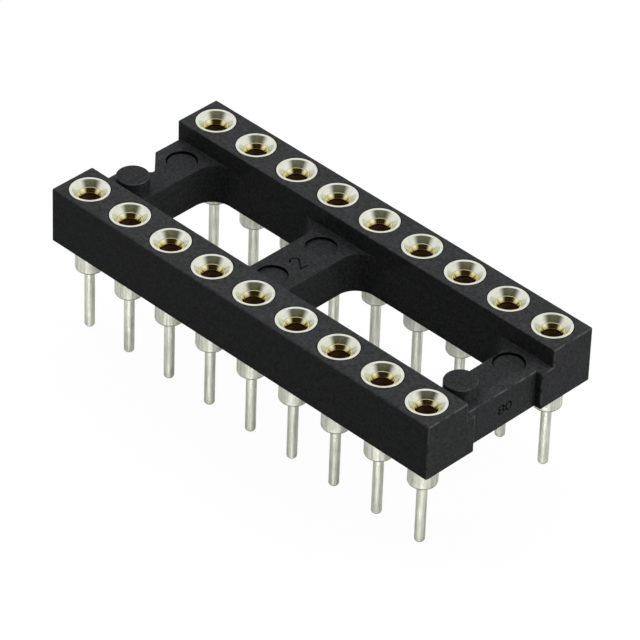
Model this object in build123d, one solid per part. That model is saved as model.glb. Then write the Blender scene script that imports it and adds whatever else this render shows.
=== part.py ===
from build123d import *
import math
import os

os.makedirs("parts", exist_ok=True)

# All sizes are in millimetres. X runs along the rows, Y across them and Z up.
# The origin is the centre of the contact grid on the seating plane, where the shoulders meet the board.

# Contact grid
row_contacts = 9
pitch = 2.54
row_spacing = 7.62

# Heights above and below the seating plane
standoff = 1.43
housing_height = 2.77
tail_length = 3.20

# Housing rails: margins are from a row's axis to the rail's faces
stacking_gap = 0.10
body_shift = 0.04
outer_margin = 1.17
inner_margin = 1.21
edge_radius = 0.10
inner_edge_radius = 0.05
foot_edge_radius = 0.03

# Crossbars and the two windows between them
channel_depth = 0.90
left_window_start = -8.88
left_window_end = -2.305
right_window_start = 0.02
right_window_end = 9.15
window_undercut = 0.02
window_draft = 5
window_corner_radius = 1.05

# Orientation notch in the left end bar
notch_end_inset = 0.14
notch_half_width = 1.12
notch_angle = 45
notch_apex_radius = 0.15

# Recess in the right end bar
recess_depth = 0.35
recess_width = 4.04
recess_shift = -0.10

# Round posts and sunk ejector marks on the crossbars
spot_reach = 9.90
spot_offset = 1.49
post_radius = 0.75
post_height = 0.68
post_edge_radius = 0.05
mark_radius = 0.72
end_mark_depth = 0.10
middle_mark_depth = 0.14
mark_groove_width = 0.06
mark_groove_depth = 0.07
middle_mark_x = -1.22
gate_radius = 0.18
gate_depth = 0.015
gate_inset = 0.23
gate_y = -0.03

# Moulded figures, one on the middle bar and two on the right end
bar_figure_height = 0.80
bar_figure_width = 0.42
bar_figure_x = -1.08
bar_figure_y = -0.08
bar_figure_turn = 90
end_figure_height = 0.48
end_figure_width = 0.40
end_figure_gap = 0.04
end_figure_y = 0.065
end_figure_rise = -0.015
figure_stroke = 0.08
figure_depth = 0.07

# Turned sleeve
head_radius = 0.91
head_height = 0.60
head_rise = 0.01
lip_width = 0.12
lip_outer_radius = 0.03
lip_inner_radius = 0.12
funnel_depth = 0.275
barrel_radius = 0.66
barb_radius = 0.73
barb_height = 0.35
barb_depth = 1.35
bore_radius = 0.56
bore_depth = 3.05
drill_angle = 59
shoulder_edge_radius = 0.12
neck_radius = 0.20
neck_height = 0.08
tail_radius = 0.235
tail_tip_radius = 0.16

# Spring clip inside the sleeve
clip_bore_radius = 0.40
collar_height = 0.95
collar_lip_width = 0.02
collar_entry_depth = 0.20
collar_entry_radius = 0.08
clip_length = 2.45
finger_gap_radius = 0.19
finger_wall = 0.06
finger_tip_length = 0.35
finger_flare = 0.03
slit_width = 0.12

# Clearances between the pieces
head_clearance = 0.035
barrel_clearance = 0.010
clip_clearance = 0.010

# A cut runs past the faces that it opens by this much
past = 0.5

# Edges are picked out by their sizes and places within this much
near = 0.0001

# Places worked out from the sizes above
row_reach = (row_contacts - 1) * pitch / 2
half_length = (row_contacts * pitch - stacking_gap) / 2
left_end = body_shift - half_length
right_end = body_shift + half_length
half_width = row_spacing / 2 + outer_margin
channel_half = row_spacing / 2 - inner_margin
rim_z = standoff + housing_height
bar_top_z = rim_z - channel_depth
bar_height = housing_height - channel_depth
recess_x = right_end - recess_depth
notch_depth = notch_half_width / math.tan(math.radians(notch_angle))
head_floor_z = rim_z - head_height
barb_z = head_floor_z - barb_depth
head_top_z = rim_z + head_rise
clip_top_z = head_top_z - funnel_depth
clip_radius = bore_radius - clip_clearance


def slab(x_low, x_high, y_low, y_high, z_low, z_high):
    """A box between two opposite corners."""
    middle = ((x_low + x_high) / 2, (y_low + y_high) / 2, (z_low + z_high) / 2)
    return Pos(*middle) * Box(x_high - x_low, y_high - y_low, z_high - z_low)


def turned(points):
    """A body of revolution about Z from its half section of (radius, height) points."""
    section = make_face(Plane.XZ * Polyline(*points, close=True))
    return revolve(section, Axis.Z)


def places():
    """Contact places: numbers run along the front row from the notch, and back along the rear row."""
    front = [(-row_reach + i * pitch, -row_spacing / 2) for i in range(row_contacts)]
    rear = [(x, row_spacing / 2) for x, _ in reversed(front)]
    return front + rear


def rails_and_bars():
    """The outer body, with its channel between the rails and its two stepped ends, edges rounded."""
    body = slab(left_end, right_end, -half_width, half_width, standoff, rim_z)
    left_of = left_end - past
    right_of = right_end + past
    body -= slab(left_of, right_of, -channel_half, channel_half, bar_top_z, rim_z + past)
    inset_x = left_end + notch_end_inset
    body -= slab(left_of, inset_x, -channel_half, channel_half, standoff - past, bar_top_z + past)
    recess_low = recess_shift - recess_width / 2
    recess_high = recess_shift + recess_width / 2
    body -= slab(recess_x, right_of, recess_low, recess_high, standoff - past, bar_top_z + past)
    outward = body.edges().filter_by(Edge.is_interior, reverse=True)
    rounded = [e for e in outward if not on_channel_brink(e) and not on_foot(e)]
    body = fillet(rounded, edge_radius)
    body = fillet([e for e in body.edges() if on_channel_brink(e)], inner_edge_radius)
    return fillet([e for e in body.edges() if on_foot(e)], foot_edge_radius)


def on_channel_brink(edge):
    """Whether an edge is the line where a rail's top meets the channel."""
    middle = edge.center()
    along = edge.length > half_length
    return along and math.isclose(abs(middle.Y), channel_half) and math.isclose(middle.Z, rim_z)


def on_foot(edge):
    """Whether an edge lies all along the housing's underside."""
    return all(math.isclose(v.Z, standoff) for v in edge.vertices())


def window(x_low, x_high):
    """One through window, whose long sides lean in towards the underside."""
    top_half = channel_half + window_undercut
    foot_half = top_half - bar_height * math.tan(math.radians(window_draft))
    middle = (x_low + x_high) / 2
    top = RectangleRounded(x_high - x_low, 2 * top_half, window_corner_radius)
    foot = RectangleRounded(x_high - x_low, 2 * foot_half, window_corner_radius)
    return loft([Pos(middle, 0, standoff) * foot, Pos(middle, 0, bar_top_z) * top], ruled=True)


def notch():
    """The V notch through the left end bar, with a rounded apex."""
    mouth_x = left_end + notch_end_inset
    side = past / math.tan(math.radians(notch_angle))
    corners = [
        (mouth_x - side, -notch_half_width - past),
        (mouth_x + notch_depth, 0),
        (mouth_x - side, notch_half_width + past),
    ]
    outline = make_face(Polyline(*corners, close=True))
    apex = outline.vertices().sort_by(Axis.X)[-1]
    outline = fillet(apex, notch_apex_radius)
    return Pos(0, 0, standoff - past) * extrude(outline, amount=bar_height + 2 * past)


def post():
    """A round post that stands on a crossbar."""
    body = Cylinder(post_radius, post_height, align=(Align.CENTER, Align.CENTER, Align.MIN))
    return fillet(body.edges().group_by(Axis.Z)[-1], post_edge_radius)


def middle_mark():
    """The hollow of a plain sunk ejector mark."""
    return Cylinder(mark_radius, 2 * middle_mark_depth)


def end_mark():
    """The hollow of a sunk ejector mark with a groove round its edge."""
    groove_bottom = end_mark_depth + mark_groove_depth
    groove = Cylinder(mark_radius, 2 * groove_bottom)
    groove -= Cylinder(mark_radius - mark_groove_width, 2 * groove_bottom)
    return groove + Cylinder(mark_radius - mark_groove_width / 2, 2 * end_mark_depth)


def figure_two(height, width):
    """The strokes of a plain 2."""
    bow = width / 2
    rise = height / 2
    top = CenterArc((0, rise - bow), bow, -30, 200)
    leg = Line(top @ 0, (-bow, -rise))
    foot = Line((-bow, -rise), (bow, -rise))
    return trace([top, leg, foot], figure_stroke)


def oval_ring(height, width):
    """One closed oval stroke, this high and wide over its outside."""
    inside = Ellipse(width / 2 - figure_stroke, height / 2 - figure_stroke)
    return Ellipse(width / 2, height / 2) - inside


def figure_eight(height, width):
    """A plain 8: two ovals that share one stroke at the waist."""
    ring = oval_ring((height + figure_stroke) / 2, width)
    rise = (height - figure_stroke) / 4
    return Pos(0, rise) * ring + Pos(0, -rise) * ring


def contact_hole():
    """The stepped hole of one contact, which follows the sleeve's outside at a clearance."""
    head = head_radius + head_clearance
    barrel = barrel_radius + barrel_clearance
    barb = barb_radius + barrel_clearance
    outline = [
        (0, rim_z + past),
        (head, rim_z + past),
        (head, head_floor_z),
        (barrel, head_floor_z),
        (barrel, barb_z + barrel_clearance),
        (barb, barb_z + barrel_clearance),
        (barb, barb_z),
        (barrel, barb_z - barb_height),
        (barrel, standoff - past),
        (0, standoff - past),
    ]
    return turned(outline)


def housing():
    """The moulded housing, one piece."""
    body = rails_and_bars()
    body -= window(left_window_start, left_window_end)
    body -= window(right_window_start, right_window_end)
    body -= notch()
    for side in (-1, 1):
        body += Pos(side * spot_reach, -spot_offset, bar_top_z) * post()
        body -= Pos(side * spot_reach, spot_offset, bar_top_z) * end_mark()
        body -= Pos(middle_mark_x, side * spot_offset, bar_top_z) * middle_mark()
    body -= Pos(recess_x - gate_inset, gate_y, bar_top_z) * Cylinder(gate_radius, 2 * gate_depth)
    bar_figure = extrude(figure_two(bar_figure_height, bar_figure_width), amount=figure_depth, both=True)
    body -= Pos(bar_figure_x, bar_figure_y, bar_top_z) * Rot(0, 0, bar_figure_turn) * bar_figure
    step = (end_figure_width + end_figure_gap) / 2
    eight = Pos(-step, 0) * figure_eight(end_figure_height, end_figure_width)
    number = eight + Pos(step, 0) * oval_ring(end_figure_height, end_figure_width)
    end_middle = (recess_x, end_figure_y, standoff + bar_height / 2 + end_figure_rise)
    end_face = Plane(end_middle, x_dir=(0, 1, 0), z_dir=(1, 0, 0))
    body -= end_face * extrude(number, amount=figure_depth, both=True)
    for x, y in places():
        body -= Pos(x, y) * contact_hole()
    return body


def sleeve():
    """A turned contact sleeve: cup, barbed barrel, shoulder, neck and solder tail."""
    funnel_radius = head_radius - lip_width
    bore_end_z = head_top_z - bore_depth
    tail_top_z = -neck_height
    outline = [
        (0, bore_end_z - bore_radius / math.tan(math.radians(drill_angle))),
        (bore_radius, bore_end_z),
        (bore_radius, clip_top_z),
        (funnel_radius, head_top_z),
        (head_radius, head_top_z),
        (head_radius, head_floor_z),
        (barrel_radius, head_floor_z),
        (barrel_radius, barb_z),
        (barb_radius, barb_z),
        (barrel_radius, barb_z - barb_height),
        (barrel_radius, 0),
        (neck_radius, 0),
        (neck_radius, tail_top_z),
        (tail_radius, tail_top_z),
        (tail_radius, -tail_length),
        (0, -tail_length),
    ]
    body = turned(outline)
    body = fillet(ring_at(body.edges(), head_radius, head_top_z), lip_outer_radius)
    body = fillet(ring_at(body.edges(), funnel_radius, head_top_z), lip_inner_radius)
    body = fillet(ring_at(body.edges(), barrel_radius, 0), shoulder_edge_radius)
    return fillet(ring_at(body.edges(), tail_radius, -tail_length), tail_tip_radius)


def ring_at(edges, radius, height):
    """The circular edges of one radius at one height."""
    rings = edges.filter_by(GeomType.CIRCLE)
    return [e for e in rings if abs(e.radius - radius) < near and abs(e.center().Z - height) < near]


def clip():
    """A four-fingered spring clip, whose collar sits in the sleeve's bore under the funnel."""
    collar_z = clip_top_z - collar_height
    tip_z = clip_top_z - clip_length
    bend_z = tip_z + finger_tip_length
    tip_radius = finger_gap_radius + finger_flare
    entry_z = clip_top_z - collar_entry_depth
    outline = [
        (clip_bore_radius, entry_z),
        (clip_radius - collar_lip_width, clip_top_z),
        (clip_radius, clip_top_z),
        (clip_radius, collar_z),
        (finger_gap_radius + finger_wall, bend_z),
        (tip_radius + finger_wall, tip_z),
        (tip_radius, tip_z),
        (finger_gap_radius, bend_z),
        (clip_bore_radius, collar_z),
    ]
    body = turned(outline)
    body = fillet(ring_at(body.edges(), clip_bore_radius, entry_z), collar_entry_radius)
    slit = slab(-slit_width / 2, slit_width / 2, -clip_radius, clip_radius, tip_z - past, collar_z)
    for turn in (45, 135):
        body -= Rot(0, 0, turn) * slit
    return body


export_step(housing(), "parts/housing.step")
one_sleeve = sleeve()
one_clip = clip()
for number, (x, y) in enumerate(places(), start=1):
    export_step(Pos(x, y) * one_sleeve, f"parts/sleeve_{number:02d}.step")
    export_step(Pos(x, y) * one_clip, f"parts/clip_{number:02d}.step")
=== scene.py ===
"""Looks of the IC socket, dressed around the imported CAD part."""
import math

import bpy
from mathutils import Matrix, Vector

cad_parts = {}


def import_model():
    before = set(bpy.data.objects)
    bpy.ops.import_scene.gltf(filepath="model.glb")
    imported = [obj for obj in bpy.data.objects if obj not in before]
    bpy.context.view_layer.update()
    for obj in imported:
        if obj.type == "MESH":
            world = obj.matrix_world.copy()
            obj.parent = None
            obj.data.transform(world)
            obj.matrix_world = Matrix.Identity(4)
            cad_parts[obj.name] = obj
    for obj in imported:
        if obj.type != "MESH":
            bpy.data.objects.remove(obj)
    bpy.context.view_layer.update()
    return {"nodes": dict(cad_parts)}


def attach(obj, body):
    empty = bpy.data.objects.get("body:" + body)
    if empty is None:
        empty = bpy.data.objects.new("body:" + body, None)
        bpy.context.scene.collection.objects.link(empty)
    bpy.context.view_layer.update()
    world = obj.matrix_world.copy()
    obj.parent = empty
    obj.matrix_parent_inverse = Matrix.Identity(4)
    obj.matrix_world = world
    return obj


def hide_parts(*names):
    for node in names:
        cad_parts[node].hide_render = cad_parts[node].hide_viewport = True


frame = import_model()

MM = 0.001
SEATING = -3.2 * MM

# The marks on the housing's crossbars and right end, in millimetres, as in the CAD part
BAR_TOP = 3.30
MARK_RADIUS = 0.72
MARK_Y = 1.49
END_MARK_X = 9.90
MIDDLE_MARK_X = -1.22
BAR_FIGURE_FLOOR = 3.23
END_FIGURE_FLOOR = 11.00

# Contact grid and the turned parts, in millimetres, as in the CAD part
ROW_CONTACTS = 9
PITCH = 2.54
ROW_SPACING = 7.62

# Half section of the sleeve as (radius, height, rounding), from the bore's bottom over the lip to the tip
SLEEVE = [
    (0.0, 0.8235, 0.0),
    (0.56, 1.16, 0.0),
    (0.56, 3.935, 0.015),
    (0.79, 4.21, 0.05),
    (0.91, 4.21, 0.03),
    (0.91, 3.60, 0.0),
    (0.66, 3.60, 0.0),
    (0.66, 2.25, 0.0),
    (0.73, 2.25, 0.0),
    (0.66, 1.90, 0.0),
    (0.66, 0.0, 0.12),
    (0.20, 0.0, 0.0),
    (0.20, -0.08, 0.0),
    (0.235, -0.08, 0.03),
    (0.235, -3.20, 0.16),
    (0.0, -3.20, 0.0),
]

# Half section of the clip's collar, and the heights and radii of its fingers
COLLAR = [
    (0.40, 2.985, 0.0),
    (0.40, 3.735, 0.03),
    (0.53, 3.935, 0.018),
    (0.55, 3.935, 0.008),
    (0.55, 2.985, 0.0),
]
FINGERS = 4
FINGER_HEIGHTS = [3.005, 2.985, 2.585, 2.185, 1.835, 1.655, 1.485]
FINGER_OUTER = [0.535, 0.55, 0.446, 0.341, 0.25, 0.265, 0.28]
FINGER_INNER = [0.41, 0.40, 0.327, 0.254, 0.19, 0.205, 0.22]
SLIT_HALF = 0.06

# Steps of the meshes round the axis, across one finger and along one rounding
SEGMENTS = 96
FINGER_STEPS = 12
ROUNDING_STEPS = 10

# The fold in degrees from which an edge is sharp, and the radius in millimetres below which a ring is one point
SHARP_ANGLE = 32
ON_AXIS = 1e-6

# Colours, as linear red, green and blue
WHITE = (1.0, 1.0, 1.0)
MOULDING_GREEN = (0.024, 0.027, 0.025)
MOULDING_BLUE = (0.029, 0.028, 0.032)
FIBRE = (0.050, 0.051, 0.050)
EDGE_HIGHLIGHT = (0.066, 0.067, 0.066)
TIN_BRIGHT = (0.78, 0.79, 0.69)
TIN_DULL = (0.66, 0.67, 0.57)
GOLD_BRIGHT = (0.94, 0.87, 0.54)
GOLD_DULL = (0.84, 0.74, 0.38)
# Brown of the painted shade down the gold bore
GOLD_BORE_SHADE = (0.20, 0.105, 0.035)
PAPER = (0.86, 0.86, 0.86)
PAPER_TO_OBJECT = (0.14, 0.14, 0.14)
# Glow of the dark card, seen only in reflections: painted reflection colours, brown low down and olive higher
# up
CARD_LOW = (0.026, 0.015, 0.003)
CARD_HIGH = (0.130, 0.128, 0.084)

# Noise scales of the plastic
BLOTCH_SCALE = 900
WAVE_SCALE = 2600
SPECK_SCALE = 7500
GRAIN_SCALE = 15000
FIBRE_STRETCH = (2500, 11000, 11000)

# How far the painted shade of the channel reaches across and along, and where the painted highlights on upright
# edges begin, in millimetres
CHANNEL_SHADE_ACROSS = (2.45, 2.62)
CHANNEL_SHADE_ALONG = (10.45, 10.60)
END_FACES = (10.95, 11.00)

# Noise scales of the metals
MOTTLE_SCALE = 1900
HANDLING_SCALE = 9000
RING_SCALE = 26000
STREAK_STRETCH = (9000, 9000, 500)

# Heights below which a sleeve is drawn and gets painted shade, and height and radius of the painted shade at
# its shoulder's foot, in millimetres
UNDER_HOUSING = (1.8, 3.2)
SHOULDER_SHADE_HEIGHTS = (0.07, 0.13)
SHOULDER_SHADE_RADII = (0.26, 0.30)

# The photograph's camera
SENSOR_WIDTH = 36.0
LENS = 279.65
CLIP_NEAR = 0.02
CLIP_FAR = 20.0
CAMERA_PLACE = Vector((0.117758, -0.123091, 0.130979))
CAMERA_RIGHT = Vector((0.7076423, 0.7059756, 0.0289970))
CAMERA_UP = Vector((-0.4453593, 0.4137984, 0.7939937))
CAMERA_BACK = Vector((0.5485413, -0.5747776, 0.6072341))

# The studio: the floor's half size, the shares of white that each kind of ray sees, the card's steps, and the
# degrees of height between which it is graded
FLOOR_HALF = 0.9
FLOOR_TO_CAMERA = 0.96
FLOOR_TO_METAL = 0.15
WORLD_TO_OBJECT = 0.18
CARD_STEPS = 24
CARD_GRADE = (31, 40)


def contact_places():
    """Contact places: along the front row from the notched end, and back along the rear row."""
    first = -(ROW_CONTACTS - 1) * PITCH / 2
    front = [(first + i * PITCH, -ROW_SPACING / 2) for i in range(ROW_CONTACTS)]
    rear = [(x, ROW_SPACING / 2) for x, _ in reversed(front)]
    return front + rear


def rounded(corners):
    """The (radius, height) points of a half section, with an arc at each corner that has a rounding."""
    points = []
    for i, (r, z, rounding) in enumerate(corners):
        here = Vector((r, z))
        if rounding == 0.0:
            points.append(here)
            continue
        back = (Vector(corners[i - 1][:2]) - here).normalized()
        on = (Vector(corners[(i + 1) % len(corners)][:2]) - here).normalized()
        half = back.angle(on) / 2
        centre = here + (back + on).normalized() * (rounding / math.sin(half))
        start = here + back * (rounding / math.tan(half)) - centre
        end = here + on * (rounding / math.tan(half)) - centre
        for k in range(ROUNDING_STEPS + 1):
            t = k / ROUNDING_STEPS
            arm = start * (1 - t) + end * t
            points.append(centre + arm.normalized() * rounding)
    return points


def finished_mesh(name, verts, faces):
    """A smooth-shaded mesh from vertices in millimetres, sharp only where its faces fold."""
    mesh = bpy.data.meshes.new(name)
    mesh.from_pydata([[c * MM for c in v] for v in verts], [], faces)
    mesh.polygons.foreach_set("use_smooth", [True] * len(mesh.polygons))
    mesh.set_sharp_from_angle(angle=math.radians(SHARP_ANGLE))
    mesh.update()
    return mesh


def turned_mesh(name, profile):
    """A body of revolution whose half section starts and ends on the axis."""
    verts, faces, rings = [], [], []
    for r, z in profile:
        count = 1 if r < ON_AXIS else SEGMENTS
        rings.append(list(range(len(verts), len(verts) + count)))
        for k in range(count):
            a = 2 * math.pi * k / SEGMENTS
            verts.append((r * math.cos(a), r * math.sin(a), z))
    for low, high in zip(rings, rings[1:]):
        for k in range(SEGMENTS):
            n = (k + 1) % SEGMENTS
            if len(low) == 1:
                faces.append((low[0], high[n], high[k]))
            elif len(high) == 1:
                faces.append((low[k], low[n], high[0]))
            else:
                faces.append((low[k], low[n], high[n], high[k]))
    return finished_mesh(name, verts, faces)


def clip_mesh(name):
    """The collar with its four tapering fingers, each a closed shell that starts inside the collar."""
    verts, faces = [], []

    def add_ring(radius, height, angles):
        first = len(verts)
        for a in angles:
            verts.append((radius * math.cos(a), radius * math.sin(a), height))
        return list(range(first, len(verts)))

    round_angles = [2 * math.pi * k / SEGMENTS for k in range(SEGMENTS)]
    loop = [add_ring(p[0], p[1], round_angles) for p in rounded(COLLAR)]
    for low, high in zip(loop, loop[1:] + loop[:1]):
        for k in range(SEGMENTS):
            n = (k + 1) % SEGMENTS
            faces.append((low[k], low[n], high[n], high[k]))
    steps = range(FINGER_STEPS + 1)
    for finger in range(FINGERS):
        middle = 2 * math.pi * finger / FINGERS
        shells = []
        for radii in (FINGER_OUTER, FINGER_INNER):
            sheet = []
            for radius, height in zip(radii, FINGER_HEIGHTS):
                half = math.pi / FINGERS - math.asin(SLIT_HALF / radius)
                angles = [middle + half * (2 * k / FINGER_STEPS - 1) for k in steps]
                sheet.append(add_ring(radius, height, angles))
            shells.append(sheet)
        outer, inner = shells
        for i in range(len(FINGER_HEIGHTS) - 1):
            for k in range(FINGER_STEPS):
                faces.append((outer[i][k + 1], outer[i][k], outer[i + 1][k], outer[i + 1][k + 1]))
                faces.append((inner[i][k], inner[i][k + 1], inner[i + 1][k + 1], inner[i + 1][k]))
            faces.append((outer[i][0], inner[i][0], inner[i + 1][0], outer[i + 1][0]))
            faces.append((inner[i][-1], outer[i][-1], outer[i + 1][-1], inner[i + 1][-1]))
        for k in range(FINGER_STEPS):
            faces.append((outer[-1][k + 1], outer[-1][k], inner[-1][k], inner[-1][k + 1]))
            faces.append((outer[0][k], outer[0][k + 1], inner[0][k + 1], inner[0][k]))
    return finished_mesh(name, verts, faces)


class Nodes:
    """Short calls for building one node tree."""

    def __init__(self, tree):
        self.tree = tree

    def add(self, kind, **settings):
        node = self.tree.nodes.new(kind)
        for key, value in settings.items():
            setattr(node, key, value)
        return node

    def join(self, source, target):
        self.tree.links.new(source, target)

    def feed(self, socket, value):
        """Gives a socket a number, a colour, or the output of another node."""
        if isinstance(value, (int, float)):
            socket.default_value = value
        elif isinstance(value, tuple):
            socket.default_value = (*value, 1.0)
        else:
            self.join(value, socket)

    def maths(self, operation, a, b=None):
        node = self.add("ShaderNodeMath", operation=operation)
        self.feed(node.inputs[0], a)
        if b is not None:
            self.feed(node.inputs[1], b)
        return node.outputs[0]

    def size(self, a):
        """The value without its sign."""
        return self.maths("ABSOLUTE", a)

    def less(self, a, b):
        return self.maths("SUBTRACT", a, b)

    def times(self, a, b):
        return self.maths("MULTIPLY", a, b)

    def larger(self, a, b):
        return self.maths("MAXIMUM", a, b)

    def distance(self, a, b):
        """The length of the arrow (a, b)."""
        return self.maths("SQRT", self.maths("ADD", self.times(a, a), self.times(b, b)))

    def place(self):
        return self.add("ShaderNodeTexCoord").outputs["Object"]

    def parts(self, vector):
        node = self.add("ShaderNodeSeparateXYZ")
        self.join(vector, node.inputs[0])
        return [node.outputs[axis] for axis in "XYZ"]

    def spread(self, value, low, high, from_low=0.0, from_high=1.0, kind="LINEAR"):
        """Low up to from_low, high from from_high on, and graded between."""
        node = self.add("ShaderNodeMapRange", interpolation_type=kind)
        self.join(value, node.inputs["Value"])
        node.inputs["From Min"].default_value = from_low
        node.inputs["From Max"].default_value = from_high
        node.inputs["To Min"].default_value = low
        node.inputs["To Max"].default_value = high
        return node.outputs["Result"]

    def within(self, value, limits):
        """1 where a value lies below the limits, in millimetres, 0 above them, and graded between."""
        low, high = limits
        return self.spread(value, 1.0, 0.0, low * MM, high * MM)

    def beyond(self, value, limits):
        """0 where a value lies below the limits, in millimetres, 1 above them, and graded between."""
        low, high = limits
        return self.spread(value, 0.0, 1.0, low * MM, high * MM)

    def close_to(self, value, middle, half):
        """1 where a value lies within half of the middle, and 0 beyond."""
        return self.spread(self.size(self.less(value, middle)), 1.0, 0.0, half, half * 1.4)

    def circle(self, along, across, radius, half):
        """1 on a circle of this radius about the place where both values are 0."""
        return self.close_to(self.distance(along, across), radius, half)

    def mix(self, factor, a, b):
        node = self.add("ShaderNodeMix", data_type="RGBA")
        self.join(factor, node.inputs["Factor"])
        self.feed(node.inputs[6], a)
        self.feed(node.inputs[7], b)
        return node.outputs[2]

    def scaled(self, colour, share):
        """The colour times one number."""
        node = self.add("ShaderNodeVectorMath", operation="SCALE")
        self.join(colour, node.inputs[0])
        node.inputs["Scale"].default_value = share
        return node.outputs[0]

    def shaded(self, factor, colour, share):
        """The colour where the factor is 0, and the colour times the share where it is 1."""
        return self.mix(factor, colour, self.scaled(colour, share))

    def ramp(self, value, stops):
        node = self.add("ShaderNodeValToRGB")
        self.join(value, node.inputs["Fac"])
        for stop, (position, colour) in zip(node.color_ramp.elements, stops):
            stop.position = position
            stop.color = (*colour, 1.0)
        return node.outputs["Color"]

    def noise(self, vector, scale, detail=2.0, roughness=0.5, distortion=0.0):
        node = self.add("ShaderNodeTexNoise")
        self.join(vector, node.inputs["Vector"])
        node.inputs["Scale"].default_value = scale
        node.inputs["Detail"].default_value = detail
        node.inputs["Roughness"].default_value = roughness
        node.inputs["Distortion"].default_value = distortion
        return node.outputs["Fac"]

    def stretched(self, vector, scales):
        node = self.add("ShaderNodeMapping")
        self.join(vector, node.inputs["Vector"])
        node.inputs["Scale"].default_value = scales
        return node.outputs["Vector"]

    def bump(self, height, strength, distance, under=None):
        node = self.add("ShaderNodeBump")
        self.join(height, node.inputs["Height"])
        node.inputs["Strength"].default_value = strength
        node.inputs["Distance"].default_value = distance
        if under is not None:
            self.join(under, node.inputs["Normal"])
        return node.outputs["Normal"]


class Shader(Nodes):
    """A material with a Principled surface, and its nodes."""

    def __init__(self, name):
        self.material = bpy.data.materials.new(name)
        self.material.use_nodes = True
        super().__init__(self.material.node_tree)
        self.surface = self.tree.nodes["Principled BSDF"]

    def set(self, **sockets):
        for name, value in sockets.items():
            self.feed(self.surface.inputs[name.replace("_", " ")], value)


def shaded_marks(s, x, y, z, lean):
    """1 where sunk marks get painted shade to look black: the middle ones' walls, the end ones' grooves, the
    figures' floors.
    """
    level = s.spread(lean[2], 0.0, 1.0, 0.5, 0.9)
    endways = s.spread(lean[0], 0.0, 1.0, 0.5, 0.9)
    below_bar = s.within(z, (BAR_TOP - 0.012, BAR_TOP - 0.004))
    across = s.less(s.size(y), MARK_Y * MM)
    middle = s.circle(s.less(x, MIDDLE_MARK_X * MM), across, MARK_RADIUS * MM, 0.03 * MM)
    middle = s.times(middle, s.less(1.0, level))
    along = s.less(s.size(x), END_MARK_X * MM)
    ends = s.circle(along, s.less(y, MARK_Y * MM), (MARK_RADIUS - 0.03) * MM, 0.035 * MM)
    mark_shade = s.times(s.larger(middle, ends), below_bar)
    bar_figure = s.times(s.close_to(z, BAR_FIGURE_FLOOR * MM, 0.012 * MM), level)
    end_figure = s.times(s.close_to(x, END_FIGURE_FLOOR * MM, 0.012 * MM), endways)
    return s.larger(mark_shade, s.larger(bar_figure, end_figure))


def highlit_edges(s, x, lean):
    """1 where edges get a painted highlight: short rounded edges, and the upright ones at the ends, where the
    normal leans off the axes.
    """
    slope = s.times(s.spread(lean[2], 0.0, 1.0, 0.20, 0.50), s.spread(lean[2], 1.0, 0.0, 0.86, 0.98))
    short = s.times(slope, s.spread(lean[0], 0.15, 1.0, 0.15, 0.40))
    upright = s.times(s.spread(lean[0], 0.0, 1.0, 0.10, 0.30), s.spread(lean[1], 0.0, 1.0, 0.10, 0.30))
    upright = s.times(upright, s.beyond(s.size(x), END_FACES))
    return s.larger(short, upright)


def plastic():
    """Black glass-filled moulding: satin rails, painted shade in the channel and in the sunk marks, fine grain,
    short fibres and painted highlights on edges.
    """
    s = Shader("black_moulding")
    place = s.place()
    x, y, z = s.parts(place)
    lean = [s.size(part) for part in s.parts(s.add("ShaderNodeNewGeometry").outputs["Normal"])]
    waves = s.noise(place, WAVE_SCALE, detail=3)

    blotches = s.noise(place, BLOTCH_SCALE, detail=4, roughness=0.6)
    specks = s.noise(place, SPECK_SCALE, detail=3, roughness=0.65)
    base = s.ramp(blotches, [(0.30, MOULDING_GREEN), (0.70, MOULDING_BLUE)])
    colour = s.mix(s.spread(specks, 0.0, 1.0, 0.35, 0.65), s.scaled(base, 0.66), s.scaled(base, 1.34))
    # Painted shade: the channel between the rails is darkened
    channel_shade = s.times(s.within(s.size(y), CHANNEL_SHADE_ACROSS), s.within(s.size(x), CHANNEL_SHADE_ALONG))
    colour = s.shaded(channel_shade, colour, 0.77)
    fibres = s.noise(s.stretched(place, FIBRE_STRETCH), 1.0, detail=1, distortion=0.6)
    colour = s.mix(s.spread(fibres, 0.0, 0.55, 0.66, 0.80), colour, FIBRE)
    # Painted shade in the sunk marks, a quarter of the colour
    colour = s.shaded(shaded_marks(s, x, y, z, lean), colour, 0.25)
    # Painted highlight along the chosen rounded edges, broken up by noise
    edge_highlight = s.times(highlit_edges(s, x, lean), s.spread(waves, 0.10, 1.0, 0.42, 0.58))
    s.set(Base_Color=s.mix(edge_highlight, colour, EDGE_HIGHLIGHT))

    skin = s.bump(s.noise(place, GRAIN_SCALE, detail=2), 0.40, 0.000016)
    s.set(Normal=s.bump(waves, 0.14, 0.00004, skin))
    s.set(Roughness=s.spread(specks, 0.36, 0.50, 0.3, 0.7), Specular_IOR_Level=0.02)
    return s.material


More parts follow.
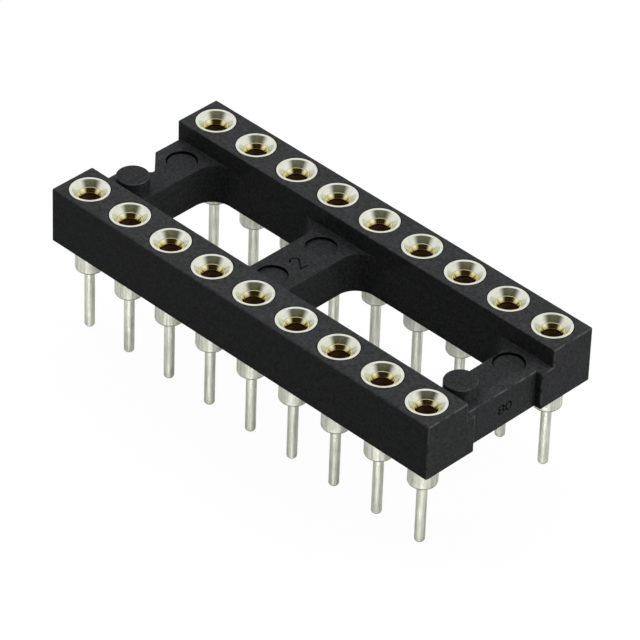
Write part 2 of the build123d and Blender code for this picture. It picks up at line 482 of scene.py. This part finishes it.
def turned_metal(name, bright, dull, rough, ring_depth, drawn=None, bore_shade=None):
    """Plated metal off a lathe: rings round the axis, a soft mottle, small handling marks, and painted shade
    below the housing and at the shoulder's foot.
    Rough and drawn are the lowest and highest roughness of the cup and of what is under the housing.
    Bore shade is (colour, height where it is full, height where it starts) for painted shade that darkens the
    metal down a bore."""
    s = Shader(name)
    x, y, z = s.parts(s.place())
    radius = s.distance(x, y)
    section = s.add("ShaderNodeCombineXYZ")
    s.join(radius, section.inputs["X"])
    s.join(z, section.inputs["Y"])
    rings = s.noise(section.outputs["Vector"], RING_SCALE, detail=3, roughness=0.6)
    world_place = s.add("ShaderNodeNewGeometry").outputs["Position"]
    mottle = s.noise(world_place, MOTTLE_SCALE, detail=4, roughness=0.62)
    marks = s.noise(world_place, HANDLING_SCALE, detail=3, roughness=0.7)
    colour = s.ramp(mottle, [(0.32, dull), (0.62, bright)])
    roughness = s.spread(marks, *rough, 0.3, 0.7)
    if drawn is not None:
        below = s.within(z, UNDER_HOUSING)
        tail = s.spread(marks, *drawn, 0.3, 0.7)
        roughness = s.maths("ADD", s.times(below, tail), s.times(s.less(1.0, below), roughness))
        # Painted shade: below the housing the tin is darkened
        colour = s.shaded(below, colour, 0.76)
        streaks = s.noise(s.stretched(world_place, STREAK_STRETCH), 1.0, detail=3, roughness=0.6)
        streaks = s.times(below, s.spread(streaks, 0.0, 1.0, 0.40, 0.66))
        colour = s.shaded(streaks, colour, 0.66)
        # Painted shade: a dark line at the foot of the shoulder, over the tail
        foot_shade = s.times(s.within(z, SHOULDER_SHADE_HEIGHTS), s.beyond(radius, SHOULDER_SHADE_RADII))
        colour = s.shaded(foot_shade, colour, 0.35)
        rings = s.times(rings, s.maths("ADD", 1.0, s.times(below, 60.0)))
    if bore_shade is None:
        s.set(Metallic=1.0)
    else:
        tint, full, start = bore_shade
        # Painted shade: the gold turns brown down the bore, and deeper in it is darker, duller and less
        # metallic
        colour = s.mix(s.within(z, (full, start)), colour, tint)
        deepest_shade = s.within(z, (full - 0.12, full))
        colour = s.shaded(deepest_shade, colour, 0.45)
        roughness = s.larger(roughness, s.times(deepest_shade, 0.6))
        s.set(Metallic=s.less(1.0, s.times(deepest_shade, 0.8)))
    s.set(Base_Color=colour, Roughness=roughness)
    grooves = s.bump(rings, ring_depth, 0.000004)
    s.set(Normal=s.bump(marks, 0.05, 0.000006, grooves))
    return s.material


PLASTIC = plastic()
TIN = turned_metal("tin_plated_brass", TIN_BRIGHT, TIN_DULL, (0.15, 0.22), 0.15, drawn=(0.41, 0.49))
GOLD = turned_metal(
    "gold_plated_spring", GOLD_BRIGHT, GOLD_DULL, (0.10, 0.14), 0.10, bore_shade=(GOLD_BORE_SHADE, 3.70, 3.82)
)

for slot in frame["nodes"]["housing"].material_slots:
    slot.material = PLASTIC

sleeve = turned_mesh("sleeve", rounded(SLEEVE))
sleeve.materials.append(TIN)
clip = clip_mesh("clip")
clip.materials.append(GOLD)
for number, (x, y) in enumerate(contact_places(), start=1):
    for kind, mesh, finish in (("sleeve", sleeve, "tin_plate"), ("clip", clip, "gold_plate")):
        piece = bpy.data.objects.new(f"{kind}_{number:02d}_dressed", mesh)
        bpy.context.collection.objects.link(piece)
        piece.location = (x * MM, y * MM, 0.0)
        bpy.context.view_layer.update()
        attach(piece, "root")
        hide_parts(f"{kind}_{number:02d}")


def camera():
    """The photograph's view: a long lens over the front right corner."""
    data = bpy.data.cameras.new("camera")
    data.sensor_width = SENSOR_WIDTH
    data.lens = LENS
    data.clip_start = CLIP_NEAR
    data.clip_end = CLIP_FAR
    view = bpy.data.objects.new("camera", data)
    bpy.context.collection.objects.link(view)
    axes = Matrix((CAMERA_RIGHT, CAMERA_UP, CAMERA_BACK)).transposed().to_4x4()
    view.matrix_world = Matrix.Translation(CAMERA_PLACE) @ axes
    bpy.context.scene.camera = view


def seen(nodes, by_camera, by_metal):
    """One value for camera rays, one for glossy and transmission rays, and 0 for the rest."""
    path = nodes.add("ShaderNodeLightPath").outputs
    glossy = nodes.times(path["Is Glossy Ray"], by_metal)
    passing = nodes.times(path["Is Transmission Ray"], by_metal)
    direct = nodes.times(path["Is Camera Ray"], by_camera)
    return nodes.larger(nodes.larger(glossy, passing), direct)


def studio_piece(name, verts, faces):
    """An object of the studio with a material whose surface is still open, and the material's nodes."""
    mesh = bpy.data.meshes.new(name)
    mesh.from_pydata(verts, [], faces)
    piece = bpy.data.objects.new(name, mesh)
    bpy.context.collection.objects.link(piece)
    material = bpy.data.materials.new(name)
    material.use_nodes = True
    mesh.materials.append(material)
    nodes = Nodes(material.node_tree)
    nodes.tree.nodes.remove(nodes.tree.nodes["Principled BSDF"])
    return piece, nodes


def floor():
    """A pale floor that reads as white to the camera and keeps a soft shadow."""
    corners = [(x * FLOOR_HALF, y * FLOOR_HALF, 0) for x, y in ((-1, -1), (1, -1), (1, 1), (-1, 1))]
    ground, nodes = studio_piece("floor", corners, [(0, 1, 2, 3)])
    ground.location = (0, 0, SEATING)
    paper = nodes.add("ShaderNodeBsdfDiffuse")
    to_object = nodes.add("ShaderNodeLightPath").outputs["Is Diffuse Ray"]
    nodes.join(nodes.mix(to_object, PAPER, PAPER_TO_OBJECT), paper.inputs["Color"])
    glow = nodes.add("ShaderNodeEmission")
    nodes.feed(glow.inputs["Color"], WHITE)
    blend = nodes.add("ShaderNodeMixShader")
    nodes.join(seen(nodes, FLOOR_TO_CAMERA, FLOOR_TO_METAL), blend.inputs["Fac"])
    nodes.join(paper.outputs[0], blend.inputs[1])
    nodes.join(glow.outputs[0], blend.inputs[2])
    nodes.join(blend.outputs[0], nodes.tree.nodes["Material Output"].inputs["Surface"])


def dark_card(name, from_angle, to_angle, soft, from_height, to_height, radius):
    """A curved glowing card for the studio's dark side, which shows in gloss alone as a painted reflection. Its
    ends fade to white.
    Angles and heights are in degrees about the origin."""
    verts, faces = [], []
    for i in range(CARD_STEPS + 1):
        turn = math.radians(from_angle + (to_angle - from_angle) * i / CARD_STEPS)
        for height in (from_height, to_height):
            rise = math.radians(height)
            flat = radius * math.cos(rise)
            verts.append((flat * math.cos(turn), flat * math.sin(turn), radius * math.sin(rise)))
    for i in range(CARD_STEPS):
        a = 2 * i
        faces.append((a, a + 2, a + 3, a + 1))
    card, nodes = studio_piece(name, verts, faces)
    x, y, z = nodes.parts(nodes.place())
    middle = math.radians((from_angle + to_angle) / 2)
    away = nodes.size(nodes.less(nodes.maths("ARCTAN2", y, x), middle))
    fade_start = math.radians((to_angle - from_angle) / 2 - soft)
    fade_end = math.radians((to_angle - from_angle) / 2)
    faded = nodes.spread(away, 0.0, 1.0, fade_start, fade_end, kind="SMOOTHSTEP")
    low, high = [radius * math.sin(math.radians(height)) for height in CARD_GRADE]
    graded = nodes.mix(nodes.spread(z, 0.0, 1.0, low, high), CARD_LOW, CARD_HIGH)
    glow = nodes.add("ShaderNodeEmission")
    nodes.join(nodes.mix(faded, graded, WHITE), glow.inputs["Color"])
    nodes.join(glow.outputs[0], nodes.tree.nodes["Material Output"].inputs["Surface"])
    card.visible_camera = False
    card.visible_diffuse = False


def softbox(name, azimuth, elevation, distance, size, power, for_gloss=False):
    """An area lamp that faces the object, for the gloss alone or for all but the gloss."""
    data = bpy.data.lights.new(name, "AREA")
    data.shape = "RECTANGLE"
    data.size, data.size_y = size
    data.energy = power
    lamp = bpy.data.objects.new(name, data)
    bpy.context.collection.objects.link(lamp)
    turn, rise = math.radians(azimuth), math.radians(elevation)
    way = Vector((math.cos(rise) * math.cos(turn), math.cos(rise) * math.sin(turn), math.sin(rise)))
    lamp.location = way * distance
    lamp.rotation_euler = way.to_track_quat("Z", "Y").to_euler()
    lamp.visible_glossy = for_gloss
    lamp.visible_diffuse = not for_gloss


def world():
    """White surroundings that light the object softly."""
    sky = bpy.data.worlds.new("studio")
    bpy.context.scene.world = sky
    sky.use_nodes = True
    nodes = Nodes(sky.node_tree)
    backdrop = nodes.tree.nodes["Background"]
    nodes.feed(backdrop.inputs["Color"], WHITE)
    nodes.join(nodes.spread(seen(nodes, 1.0, 1.0), WORLD_TO_OBJECT, 1.0), backdrop.inputs["Strength"])


camera()
floor()
world()
dark_card("dark_side", -136, 30, 46, 10, 56, 0.40)
softbox("key", 165, 55, 0.60, (1.00, 1.00), 6.8)
softbox("side", 22, 35, 0.55, (0.70, 0.70), 4.7)
softbox("front", -56, 3, 0.55, (0.17, 0.10), 5.0, for_gloss=True)

bpy.context.scene.view_settings.view_transform = "Standard"
